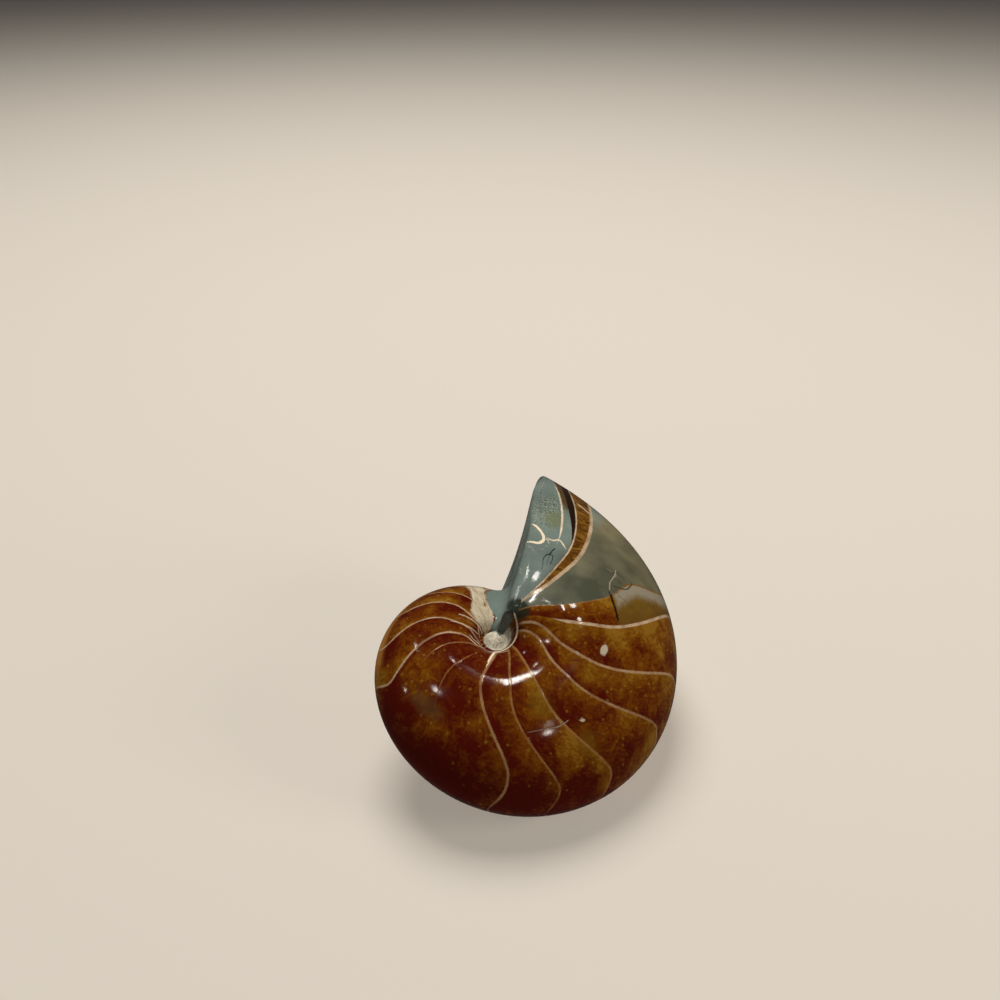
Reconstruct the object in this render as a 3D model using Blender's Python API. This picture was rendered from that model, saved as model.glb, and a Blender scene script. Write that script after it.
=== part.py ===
"""Polished nautilus fossil, one solid stone.

The outside of the last turn of a coiled shell is a single closed skin. A cross-section of
the shell turns about the coil axis and grows at a constant rate, so each turn is the same
shape as the one before it, only larger. A sphere's net of rows and columns is moved onto it:
the rows run from one navel over the keel to the other, and the columns run round the coil,
over the rounded lip, back across the mouth and down a fillet onto the turn before. A shallow
dome closes the navel of each flank. A flat spot is ground on the lower flank, where the
stone rests.

Metres and degrees, +Z up. The origin is at the middle of the footprint's box, on the
resting surface. Reach is 0 at the navel's rim, 0.4 at the shoulder and 1 at the keel.
Azimuth is 0 at the tip of the lip, and falls going back round the coil.
"""

import math

import bmesh
import bpy
from mathutils import Matrix, Vector

OBJECT_NAME = "nautilus_fossil"

# Size and growth of the coil.
LIP_RADIUS = 0.0571  # from the coil axis to the tip of the lip
GROWTH_PER_TURN = 3.14  # size of a turn over the size of the one before it
FULL_TURN = 360.0

# Cross-section of a turn, as fractions of its outer radius.
HALF_WIDTH = 0.443  # half of the shell's thickness, at the shoulder
SHOULDER_RADIUS = 0.337  # where the shell is thickest
SHOULDER_REACH = 0.4
NAVEL_HALF_WIDTH = 0.305  # half of the thickness at the rim of the navel
KEEL_POWER = 1.864  # 2 is an ellipse, less is a sharper keel
FUNNEL_POWER = 1.565  # the same for the curve from shoulder to navel
WEAR = 0.3  # how much of the reach the worn shoulder is smoothed over
WEAR_WEIGHTS = (1, 6, 15, 20, 15, 6, 1)

# The navels.
NAVEL_RIM = 0.0035
NAVEL_SHIFT = 0.001  # how far a navel stands off the coil axis
NAVEL_HEADING = 50.0
DOME_HEIGHT = 0.010  # from the middle plane out to the dome's top
DOME_DROP = 0.0016

# The mouth: how the lip runs ahead of a straight radial line, and how it narrows.
LIP_SWEEP = -11.8
LIP_CURL = 26.6
LIP_SWELLING = 3.8  # how far the upper flank's lip swells forwards
LIP_HOLLOW = 1.2  # how far it falls back near the funnel
LIP_NARROWING = 0.286
NARROWING_SPAN = 67.0
LIP_ROUNDING = 0.002
NAVEL_ROUNDING = 0.0025  # how much rounder the lip is by the navel
FILLET_REACH = 0.005

# How the stone lies: the coil axis leans over, and the lip points away and to one side.
AXIS_LEAN = 25.0
LEAN_HEADING = 36.5
LIP_TURN = 43.4
FLAT_DEPTH = 0.0028  # how much is ground off below, which makes the flat spot

# Fineness of the faceted skin.
SKIN_COLUMNS = 76
EDGE_COLUMNS = 3
FACE_COLUMNS = 4
FILLET_COLUMNS = 3
HALF_ROWS = 17
DOME_ROWS = 3
SNAP_DISTANCE = 1e-4  # points this near the flat spot's rim are moved onto it

COLOUR = (0.19, 0.066, 0.012, 1.0)
ROUGHNESS = 0.08


def held(value):
    """A value held between 0 and 1."""
    return min(max(value, 0.0), 1.0)


def ease(value):
    """Ease from 0 to 1 with level ends."""
    part = held(value)
    return part * part * (3 - 2 * part)


def hump(value, middle, spread):
    """A smooth hump of height 1 round one value."""
    return math.exp(-(((value - middle) / spread) ** 2))


def turn_size(azimuth):
    """The turn's outer radius at an azimuth."""
    return LIP_RADIUS * GROWTH_PER_TURN ** (azimuth / FULL_TURN)


def sharp_section(reach, half_width, rim):
    """(radius, width) on half of a cross-section: two curves that meet level at the shoulder."""
    if reach >= SHOULDER_REACH:
        angle = math.pi / 2 * (1 - (reach - SHOULDER_REACH) / (1 - SHOULDER_REACH))
        across = held(math.sin(angle)) ** (2 / KEEL_POWER)
        along = held(math.cos(angle)) ** (2 / KEEL_POWER)
        return SHOULDER_RADIUS + (1 - SHOULDER_RADIUS) * along, half_width * across
    angle = math.pi / 2 * (1 - reach / SHOULDER_REACH)
    across = held(math.sin(angle)) ** (2 / FUNNEL_POWER)
    along = held(math.cos(angle)) ** (2 / FUNNEL_POWER)
    radius = SHOULDER_RADIUS - (SHOULDER_RADIUS - rim) * across
    return radius, NAVEL_HALF_WIDTH + (half_width - NAVEL_HALF_WIDTH) * along


def worn_section(reach, half_width, rim):
    """The same once it is worn smooth over the shoulder, and a little over the keel."""
    wear = WEAR * held(reach / 0.2) * (1 - 0.9 * ease((reach - 0.5) / 0.35))
    steps = len(WEAR_WEIGHTS) // 2
    radius = width = 0.0
    for step, weight in enumerate(WEAR_WEIGHTS, start=-steps):
        moved = reach + step * wear / steps
        beyond_keel = moved > 1
        section = sharp_section(2 - moved if beyond_keel else max(moved, 0), half_width, rim)
        radius += section[0] * weight
        width += -section[1] * weight if beyond_keel else section[1] * weight
    total = sum(WEAR_WEIGHTS)
    return radius / total, width / total


def lip_azimuth(reach, side):
    """How far ahead of the tip's own azimuth the lip stands."""
    narrow = HALF_WIDTH * (1 - LIP_NARROWING)
    inward = 1 - worn_section(reach, narrow, NAVEL_RIM / LIP_RADIUS)[0]
    azimuth = LIP_SWEEP * inward + LIP_CURL * inward**2
    if side > 0:
        azimuth += LIP_SWELLING * hump(reach, 0.66, 0.13) - LIP_HOLLOW * hump(reach, 0.31, 0.08)
    return azimuth


def skin_point(reach, side, azimuth):
    """A point of the skin in the coil's own frame. side is 1 or -1 for the two flanks."""
    narrowing = LIP_NARROWING * ease(1 + azimuth / NARROWING_SPAN)
    size = turn_size(azimuth)
    radius, width = worn_section(reach, HALF_WIDTH * (1 - narrowing), NAVEL_RIM / size)
    turned = math.radians(azimuth)
    point = size * Vector((radius * math.cos(turned), radius * math.sin(turned), side * width))
    return point + navel_middle() * held(1 - reach / SHOULDER_REACH) ** 2


def navel_middle():
    """Where the middle of a navel stands, in the middle plane."""
    heading = math.radians(NAVEL_HEADING)
    return NAVEL_SHIFT * Vector((math.cos(heading), math.sin(heading), 0))


def curve_point(start, control, end, share):
    """A point on a quadratic curve."""
    return (1 - share) ** 2 * start + 2 * share * (1 - share) * control + share**2 * end


def net_row(reach, side):
    """One row of the net: the skin, the rounded lip, the mouth's face and its fillet."""
    lip = lip_azimuth(reach, side)
    tip = skin_point(reach, side, lip)
    corner = skin_point(reach, side, lip - FULL_TURN)
    gap = (tip - corner).length
    rounding = LIP_ROUNDING * (1 - 0.75 * ease((reach - 0.7) / 0.3))
    edge = min(rounding + NAVEL_ROUNDING * ease((0.5 - reach) / 0.35), gap * 0.3)
    radius = worn_section(reach, HALF_WIDTH, NAVEL_RIM / LIP_RADIUS)[0]
    first = lip - FULL_TURN + 17 + 14 * held((0.9 - reach) / 0.5)
    last = lip - math.degrees(edge / (LIP_RADIUS * radius + 0.001))
    row = []
    for column in range(SKIN_COLUMNS):
        # Even steps along the spiral, whose size grows in proportion to its length.
        share = column / (SKIN_COLUMNS - 1)
        size = turn_size(first) + (turn_size(last) - turn_size(first)) * share
        azimuth = FULL_TURN * math.log(size / LIP_RADIUS) / math.log(GROWTH_PER_TURN)
        row.append(skin_point(reach, side, azimuth))
    inwards = (corner - tip) / gap
    turned = tip + inwards * edge
    foot = corner - inwards * min(FILLET_REACH, gap * 0.45)
    start, end = row[-1], row[0]
    for step in range(1, EDGE_COLUMNS + 1):
        row.append(curve_point(start, tip, turned, step / EDGE_COLUMNS))
    for step in range(1, FACE_COLUMNS + 1):
        row.append(turned.lerp(foot, step / FACE_COLUMNS))
    for step in range(1, FILLET_COLUMNS + 1):
        row.append(curve_point(foot, corner, end, step / (FILLET_COLUMNS + 1)))
    return row


def dome_row(rim, side, share):
    """One row of the dome inside a navel's rim, from 0 at the rim to 1 at its middle."""
    middle = navel_middle()
    top = side * (DOME_HEIGHT - DOME_DROP * (1 - share) ** 2)
    blend = ease(share / 0.4)
    row = []
    for point in rim:
        flat = Vector((point.x, point.y, 0))
        inside = middle.lerp(flat, 1 - share)
        row.append(Vector((inside.x, inside.y, point.z * (1 - blend) + top * blend)))
    return row


def flank_rows(side):
    """The rows of one flank, from its navel's middle to the keel."""
    rows = [net_row(step / HALF_ROWS, side) for step in range(HALF_ROWS + 1)]
    domed = [dome_row(rows[0], side, step / DOME_ROWS) for step in range(DOME_ROWS, 0, -1)]
    return domed + rows


def lay_net(bm):
    """Make a sphere and move its rows and columns onto the skin."""
    points = flank_rows(1) + flank_rows(-1)[-2::-1]
    rows, columns = len(points) - 1, len(points[0])
    bmesh.ops.create_uvsphere(bm, u_segments=columns, v_segments=rows, radius=1)
    for vert in bm.verts:
        row = round(math.acos(max(-1, min(1, vert.co.z))) / math.pi * rows)
        column = round(math.atan2(vert.co.y, vert.co.x) / math.tau * columns) % columns
        if row in (0, rows):
            vert.co = sum(points[row], Vector()) / columns
        else:
            vert.co = points[row][column]


def lay_down(bm):
    """Turn the coil as it lies, with its lowest point just below the resting surface."""
    heading = Matrix.Rotation(math.radians(LEAN_HEADING), 4, "Z")
    lean = Matrix.Rotation(math.radians(AXIS_LEAN), 4, "X")
    lip = Matrix.Rotation(math.radians(LIP_TURN), 4, "Z")
    bmesh.ops.transform(bm, matrix=heading @ lean @ lip, verts=bm.verts)
    lowest = min(vert.co.z for vert in bm.verts)
    bmesh.ops.translate(bm, vec=(0, 0, -lowest - FLAT_DEPTH), verts=bm.verts)


def grind_flat(bm):
    """Grind off what is below the resting surface, and leave a flat face there."""
    bmesh.ops.bisect_plane(
        bm,
        geom=bm.verts[:] + bm.edges[:] + bm.faces[:],
        dist=SNAP_DISTANCE,
        plane_co=(0, 0, 0),
        plane_no=(0, 0, -1),
        use_snap_center=True,
        clear_outer=True,
    )
    rim = [edge for edge in bm.edges if edge.is_boundary]
    bmesh.ops.edgeloop_fill(bm, edges=rim)
    bmesh.ops.remove_doubles(bm, verts=bm.verts, dist=SNAP_DISTANCE)


def centre_footprint(bm):
    """Bring the middle of the footprint's box to the origin."""
    xs = [vert.co.x for vert in bm.verts]
    ys = [vert.co.y for vert in bm.verts]
    middle = Vector((min(xs) + max(xs), min(ys) + max(ys), 0)) / 2
    bmesh.ops.translate(bm, vec=-middle, verts=bm.verts)


def stone_material():
    """Amber calcite with a high polish."""
    material = bpy.data.materials.new("polished_amber_calcite")
    material.use_nodes = True
    shader = material.node_tree.nodes["Principled BSDF"]
    shader.inputs["Base Color"].default_value = COLOUR
    shader.inputs["Roughness"].default_value = ROUGHNESS
    shader.inputs["Metallic"].default_value = 0.0
    return material


def build_fossil():
    """Make the stone's mesh, its object and its collection."""
    bm = bmesh.new()
    lay_net(bm)
    lay_down(bm)
    grind_flat(bm)
    centre_footprint(bm)
    bmesh.ops.recalc_face_normals(bm, faces=bm.faces)
    mesh = bpy.data.meshes.new(OBJECT_NAME)
    bm.to_mesh(mesh)
    bm.free()
    mesh.shade_smooth()
    mesh.set_sharp_from_angle(angle=math.radians(40))
    mesh.materials.append(stone_material())
    collection = bpy.data.collections.new(OBJECT_NAME)
    bpy.context.scene.collection.children.link(collection)
    collection.objects.link(bpy.data.objects.new(OBJECT_NAME, mesh))


for leftover in list(bpy.data.objects):
    bpy.data.objects.remove(leftover)
build_fossil()
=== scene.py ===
"""Polished nautilus fossil: the finished skin, its stone, and a plain studio around it.

The last turn of the coil is one closed skin. A sphere's net of rows and columns is laid over
it: the columns run round the coil and back across the mouth, and the rows run from one navel
over the keel to the other. Every finish follows fields that are worked out with the shape,
such as how many chambers back a point lies, so that no pattern needs an unwrapped map.

The skin is worked out in millimetres, with the coil axis on Z and the tip of the lip on +X.
"""

import logging
import math
from dataclasses import dataclass, field
from enum import Enum

import bmesh
import bpy
import numpy as np
from mathutils import Matrix, Vector


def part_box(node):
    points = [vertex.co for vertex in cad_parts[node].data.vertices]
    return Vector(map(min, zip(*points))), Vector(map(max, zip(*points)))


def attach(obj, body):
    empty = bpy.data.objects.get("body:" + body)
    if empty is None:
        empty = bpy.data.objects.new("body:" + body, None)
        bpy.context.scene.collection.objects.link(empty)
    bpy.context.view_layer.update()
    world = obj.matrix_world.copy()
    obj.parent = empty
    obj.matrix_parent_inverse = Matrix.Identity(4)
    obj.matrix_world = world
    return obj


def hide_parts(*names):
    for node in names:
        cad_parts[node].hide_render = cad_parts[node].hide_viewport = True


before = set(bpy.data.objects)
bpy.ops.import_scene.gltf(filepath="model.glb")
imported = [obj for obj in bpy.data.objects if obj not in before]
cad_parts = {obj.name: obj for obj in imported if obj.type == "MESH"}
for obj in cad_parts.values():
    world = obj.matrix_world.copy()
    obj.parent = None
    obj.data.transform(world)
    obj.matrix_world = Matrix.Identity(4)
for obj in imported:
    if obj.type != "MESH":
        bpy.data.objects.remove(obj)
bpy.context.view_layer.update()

NODE = "nautilus_fossil"
MM = 0.001
FULL_TURN = 360.0
# The furthest that a field counts, and a width that hides a line, in millimetres.
FAR = 6.0
NO_LINE = -0.5
log = logging.getLogger("nautilus")

Field = np.ndarray
Socket = bpy.types.NodeSocket
Stops = tuple[tuple[float, str], ...]


def linear(colour: str) -> tuple[float, float, float, float]:
    """Turn an sRGB hex colour into the linear colour that a shader takes.

    Args:
        colour: six hex digits after a "#".

    Returns:
        Linear red, green, blue, and an alpha of 1.
    """
    parts = [int(colour[place : place + 2], 16) / 255 for place in (1, 3, 5)]
    red, green, blue = (
        part / 12.92 if part <= 0.04045 else ((part + 0.055) / 1.055) ** 2.4 for part in parts
    )
    return red, green, blue, 1.0


def ease(value: Field) -> Field:
    """Ease from 0 to 1 with level ends, for values from 0 to 1."""
    held = np.clip(value, 0, 1)
    return held * held * (3 - 2 * held)


def hump(value: Field, middle: float, spread: float) -> Field:
    """A smooth hump of height 1 round one value."""
    return np.exp(-(((value - middle) / spread) ** 2))


class Flank(Enum):
    """The two sides of the coil, by the sign of their distance along its axis."""

    SHOWN = 1
    UNDER = -1


@dataclass(frozen=True)
class Seam:
    """One line that crosses the turn from navel to keel, such as a chamber wall's edge.

    Attributes:
        number: how many chambers back from the last chamber's wall it lies.
        saddle: its azimuth where it runs straight, over the outer flank, in degrees.
        bow: how far it falls back across the shoulder, in degrees.
        rise: how strongly it turns forwards again as it nears the navel.
        start: the reach where the bow begins.
        width: the line's own width, in millimetres.
        shown: the reach that the line starts from and the reach that it ends at.
        pale: how pale the line is, from 0 to 1.
        bulge: how far it swells forwards round a reach of 0.61, in degrees.
    """

    number: int
    saddle: float
    bow: float
    rise: float
    start: float = 0.85
    width: float = 0.5
    shown: tuple[float, float] = (0.0, 1.0)
    pale: float = 0.5
    bulge: float = 0.0

    KEEL_DIP = 4.0
    BOW_SPAN = 0.4
    MOST_RISE = 42.0

    def azimuth(self, reach: Field) -> Field:
        """Where the seam lies.

        Args:
            reach: 0 at the navel's rim, 0.4 at the shoulder and 1 at the keel.

        Returns:
            The azimuth in degrees, which is 0 at the tip of the lip and falls going back.
        """
        fallen = self.bow * ease((self.start - reach) / self.BOW_SPAN)
        risen = self.rise * np.clip((0.45 - reach) / 0.25, 0, None) ** 3
        dipped = self.KEEL_DIP * ease((reach - 0.8) / 0.2)
        swollen = self.bulge * hump(reach, 0.61, 0.085)
        return self.saddle - fallen + self.MOST_RISE * np.tanh(risen / self.MOST_RISE) - dipped + swollen

    def half_width(self, reach: Field) -> Field:
        """Half of the line's width in millimetres, falling below 0 where it isn't shown."""
        inside = np.minimum(reach - self.shown[0], self.shown[1] - reach)
        return self.width / 2 * np.clip(inside / 0.06, -1, 1)


SEAMS = (
    Seam(-3, saddle=-3, bow=11, rise=2, width=0.42, shown=(0.5, 0.77), pale=0.9),
    Seam(-2, saddle=-8, bow=13, rise=3.5, width=0.3, shown=(0.12, 0.86), pale=0.55),
    Seam(-1, saddle=-15, bow=12, rise=8, width=0.8, pale=0.4),
    Seam(0, saddle=-52, bow=3, rise=14, width=0.2, shown=(0.0, 0.55), pale=0.05, bulge=5),
    Seam(1, saddle=-59, bow=13, rise=12, width=0.62, shown=(0.24, 1.0), pale=0.42),
    Seam(2, saddle=-80, bow=16, rise=21, width=0.5, pale=0.22),
    Seam(3, saddle=-99, bow=16, rise=20, width=0.45, pale=0.16),
    Seam(4, saddle=-123, bow=16, rise=4, width=0.4, pale=0.03),
    Seam(5, saddle=-143, bow=20, rise=6.5, width=0.38, pale=0.03),
    Seam(6, saddle=-163, bow=28, rise=4, start=0.78, width=0.5, pale=0.1),
    Seam(7, saddle=-196, bow=24, rise=6, width=0.25, shown=(0.3, 0.62), pale=0.0),
    Seam(8, saddle=-219, bow=26, rise=10, width=0.25, shown=(0.1, 0.6), pale=0.05),
    Seam(9, saddle=-232, bow=28, rise=21, width=0.42, pale=0.32),
    Seam(10, saddle=-252, bow=26, rise=14, start=0.92, width=0.32, pale=0.35),
    Seam(11, saddle=-274, bow=27, rise=12, start=0.92, width=0.28, pale=0.35),
    *(
        Seam(number, saddle=-54 - 20 * number, bow=27, rise=12, start=0.92, width=0.2, pale=0.3)
        for number in range(12, 17)
    ),
)


@dataclass(frozen=True)
class Vein:
    """A crack, or a thread of shell or calcite, that shows as one thin line.

    Attributes:
        path: its points as (reach, azimuth) on the shown flank.
        width: its width in millimetres.
        tone: 0 for an open dark crack, up to 1 for white shell.
    """

    path: tuple[tuple[float, float], ...]
    width: float
    tone: float

    STEPS = 6

    def rounded(self) -> Field:
        """Round the path's corners.

        Returns:
            Its points, as (reach, azimuth) rows.
        """
        ends = [self.path[0], *self.path, self.path[-1]]
        known = np.array(ends, dtype=float)
        found = [known[1]]
        for before, start, end, after in zip(known, known[1:], known[2:], known[3:]):
            for step in np.linspace(0, 1, self.STEPS + 1)[1:]:
                curve = (
                    2 * start
                    + (end - before) * step
                    + (2 * before - 5 * start + 4 * end - after) * step**2
                    + (3 * start - before - 3 * end + after) * step**3
                )
                found.append(curve / 2)
        return np.array(found)


VEINS = (
    Vein(((0.51, 1), (0.505, -2), (0.49, -5.2), (0.465, -6.6), (0.44, -4), (0.425, 3)), 0.75, 1.0),
    Vein(((0.485, -8), (0.49, -11), (0.51, -14), (0.49, -19)), 0.42, 0.8),
    Vein(((0.47, -14), (0.43, -13), (0.40, -11), (0.34, -14)), 0.32, 0.0),
    Vein(((0.43, -13), (0.42, -16), (0.38, -17)), 0.25, 0.0),
    Vein(((0.73, -12), (0.725, -15), (0.72, -18)), 0.5, 0.6),
    Vein(((0.60, -40), (0.58, -43), (0.54, -46), (0.52, -51)), 0.3, 0.35),
    Vein(((0.56, -38), (0.58, -42), (0.60, -48)), 0.2, 0.25),
    Vein(((0.52, -50), (0.52, -57), (0.525, -63), (0.53, -68)), 0.6, 0.0),
    Vein(((0.54, -48), (0.57, -50), (0.60, -51), (0.64, -48)), 0.3, 0.05),
    Vein(((0.60, -156), (0.59, -144), (0.59, -138), (0.58, -131)), 0.14, 0.3),
    Vein(((0.27, 0), (0.30, 3), (0.34, 3.5), (0.41, 3)), 0.25, 0.6),
    Vein(((0.02, -10), (0.0, -40), (0.0, -80), (0.0, -120), (0.0, -160), (0.03, -195)), 0.5, 0.85),
    Vein(((0.02, -179), (0.12, -187), (0.2, -191), (0.33, -192)), 0.6, 0.9),
    Vein(((0.3, -264), (0.12, -237), (0.06, -190), (0.07, -139)), 0.28, 0.6),
    Vein(((0.5, -290), (0.4, -295), (0.22, -297), (0.08, -290)), 0.25, 0.6),
    Vein(((0.5, -276), (0.35, -279), (0.14, -277)), 0.22, 0.6),
)


@dataclass(frozen=True)
class Spot:
    """A soft-edged patch in the stone.

    Attributes:
        field: the name of the field that it is added to.
        reach: where its middle lies, from navel to keel.
        azimuth: the same, round the coil, in degrees.
        across: half of its size from navel to keel, in millimetres.
        along: half of its size round the coil, in millimetres.
        turn: how far its long side is turned, in degrees.
    """

    field: str
    reach: float
    azimuth: float
    across: float
    along: float
    turn: float = 0.0


SPOTS = (
    Spot("white_spot", 0.49, -86, 0.75, 1.25),
    Spot("white_spot", 0.60, -125, 0.42, 0.42),
    Spot("cloudy", 0.69, -210, 2.0, 5.0, -10),
    Spot("olive", 0.49, -143, 3.0, 2.2),
    Spot("olive", 0.68, -128, 3.0, 2.0),
    Spot("olive", 0.60, -58, 5.0, 3.0),
    # Painted shade: a dark patch laid in the hollow beside the navel, where shade falls in the recess.
    Spot("hollow", 0.09, -19, 2.3, 2.6),
    Spot("gritty", 0.60, -4, 7.0, 3.5),
    Spot("green", 0.58, -8, 3.4, 2.4),
)


@dataclass(frozen=True)
class Swell:
    """A low rise that grinding by hand left in the shown flank.

    Attributes:
        reach: where its middle lies, from navel to keel.
        azimuth: the same, round the coil, in degrees.
        height: how far it stands up along the coil axis, in millimetres.
        radius: how far it spreads, in millimetres.
    """

    reach: float
    azimuth: float
    height: float
    radius: float


SWELLS = (
    Swell(0.42, -166, 0.35, 8.0),
    Swell(0.4, -230, 0.2, 7.0),
    Swell(0.37, -71, 0.45, 6.0),
    Swell(0.33, -12, 0.3, 8.0),
)


# How golden the fillings are by azimuth, before the keel and the navel change it. This is partly the
# calcite's own colour and partly painted light and shade: more golden towards the lip's side as painted
# glow of light through the calcite, and painted shade making the lower chambers, about -165 to -215
# degrees, deep red.
GOLDEN_WITH_PAINTED_LIGHT = (
    (-360, 0.35), (-300, 0.3), (-235, 0.25), (-215, 0.12), (-165, 0.12), (-140, 0.45), (-110, 0.55),
    (-48, 0.65),
)

# How much each of the section's shifted copies counts where it is worn smooth.
WEAR_WEIGHTS = (1, 6, 15, 20, 15, 6, 1)
SHOULDER = 0.4


@dataclass(frozen=True)
class Coil:
    """The outside of a coiled shell's last turn, in millimetres and degrees.

    A cross-section turns about the coil axis and grows at a constant rate. The sizes are
    those that the fixed frame was built from.
    """

    lip_radius: float = 57.1
    growth_per_turn: float = 3.14
    half_width: float = 0.443
    shoulder_radius: float = 0.337
    navel_half_width: float = 0.305
    keel_power: float = 1.864
    funnel_power: float = 1.565
    navel_rim: float = 3.5
    navel_shift: float = 1.0
    navel_heading: float = 50.0
    lip_sweep: float = -11.8
    lip_curl: float = 26.6
    lip_swelling: float = 3.8
    lip_hollow: float = 1.2
    lip_narrowing: float = 0.286
    narrowing_span: float = 67.0
    wear: float = 0.3

    def size(self, azimuth: Field) -> Field:
        """The turn's outer radius at an azimuth."""
        return self.lip_radius * self.growth_per_turn ** (azimuth / FULL_TURN)

    def half_section(self, reach: Field, half_width: Field, rim: Field) -> tuple[Field, Field]:
        """Half of a cross-section whose outer radius is 1, worn smooth over shoulder and keel.

        Args:
            reach: the place from navel to keel.
            half_width: half of the section's thickness at the shoulder.
            rim: the radius of the navel's rim.

        Returns:
            Radius and distance from the middle plane.
        """
        worn = self.wear * np.clip(reach / 0.2, 0, 1) * (1 - 0.9 * ease((reach - 0.5) / 0.35))
        radius = width = 0.0
        for step, weight in zip(np.linspace(-1, 1, len(WEAR_WEIGHTS)), WEAR_WEIGHTS):
            moved = reach + step * worn
            over_keel = np.sign(1 - moved)
            section = self._sharp_section(1 - np.abs(1 - moved), half_width, rim)
            radius = radius + section[0] * weight / sum(WEAR_WEIGHTS)
            width = width + section[1] * over_keel * weight / sum(WEAR_WEIGHTS)
        return radius, width

    def _sharp_section(self, reach: Field, half_width: Field, rim: Field) -> tuple[Field, Field]:
        """Half of a cross-section before it is worn: two curves that meet level at the shoulder.

        Args:
            reach: the place from navel to keel.
            half_width: half of the section's thickness at the shoulder.
            rim: the radius of the navel's rim.

        Returns:
            Radius and distance from the middle plane.
        """
        outer = reach >= SHOULDER
        part = np.where(outer, (reach - SHOULDER) / (1 - SHOULDER), reach / SHOULDER)
        angle = math.pi / 2 * (1 - part)
        along = np.clip(np.cos(angle), 0, 1)
        across = np.clip(np.sin(angle), 0, 1)
        radius = np.where(
            outer,
            self.shoulder_radius + (1 - self.shoulder_radius) * along ** (2 / self.keel_power),
            self.shoulder_radius - (self.shoulder_radius - rim) * across ** (2 / self.funnel_power),
        )
        width = np.where(
            outer,
            half_width * across ** (2 / self.keel_power),
            self.navel_half_width
            + (half_width - self.navel_half_width) * along ** (2 / self.funnel_power),
        )
        return radius, width

    def lip_azimuth(self, reach: Field, flank: Field) -> Field:
        """How far ahead of the tip the lip stands.

        Args:
            reach: the place from navel to keel.
            flank: 1 on the shown flank, -1 on the other.

        Returns:
            The lip's azimuth in degrees.
        """
        narrow = self.half_width * (1 - self.lip_narrowing)
        inward = 1 - self.half_section(reach, narrow, self.navel_rim / self.lip_radius)[0]
        worn = self.lip_swelling * hump(reach, 0.66, 0.13) - self.lip_hollow * hump(reach, 0.31, 0.08)
        return self.lip_sweep * inward + self.lip_curl * inward**2 + np.where(flank > 0, worn, 0)

    def skin(self, reach: Field, flank: Field, azimuth: Field) -> Field:
        """Points of the turn's outside.

        Args:
            reach: the place from navel to keel.
            flank: 1 on the shown flank, -1 on the other.
            azimuth: degrees, 0 at the tip of the lip.

        Returns:
            Points, with their coordinates on the last axis.
        """
        near_lip = ease(1 + azimuth / self.narrowing_span)
        half_width = self.half_width * (1 - self.lip_narrowing * near_lip)
        size = self.size(azimuth)
        radius, width = self.half_section(reach, half_width, self.navel_rim / size)
        turned = np.radians(azimuth)
        shift = self.navel_shift * np.clip(1 - reach / SHOULDER, 0, 1) ** 2
        centre = self.navel_centre()
        return np.stack(
            [
                size * radius * np.cos(turned) + shift * centre[0],
                size * radius * np.sin(turned) + shift * centre[1],
                flank * size * width,
            ],
            axis=-1,
        )

    def navel_centre(self) -> tuple[float, float]:
        """The direction in which the navel stands off the coil axis."""
        heading = math.radians(self.navel_heading)
        return math.cos(heading), math.sin(heading)


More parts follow.
